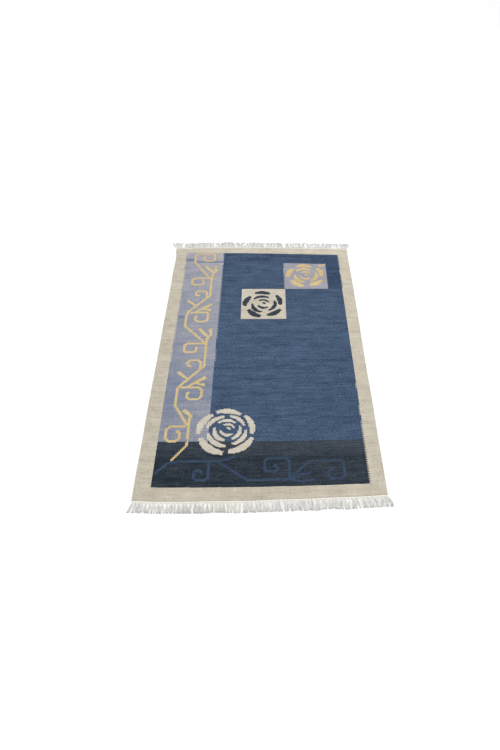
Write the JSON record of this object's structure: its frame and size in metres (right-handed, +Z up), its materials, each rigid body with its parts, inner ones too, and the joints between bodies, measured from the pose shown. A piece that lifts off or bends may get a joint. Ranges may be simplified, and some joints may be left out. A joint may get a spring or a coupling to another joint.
{
  "type": "kilim",
  "caption": "Flat-woven wool rug lying flat, with a pale border, blue field, lilac strip, dark end band, rose panels and a loose cotton fringe at each end.",
  "frame": {"origin": "on the floor, under the middle of all that lies there, fringe included", "axes": "+Y along the length, from the end with the dark band to the end with the small panels; +Z up through the cloth"},
  "size_m": [1.2552, 2.155, 0.004],
  "materials": {
    "rug_wool": "matt flat-woven wool",
    "fringe_cotton": "matt twisted cotton"
  },
  "bodies": {
    "root": {"woven_rug": "rug_wool", "near_fringe": "fringe_cotton", "far_fringe": "fringe_cotton"}
  },
  "joints": []
}
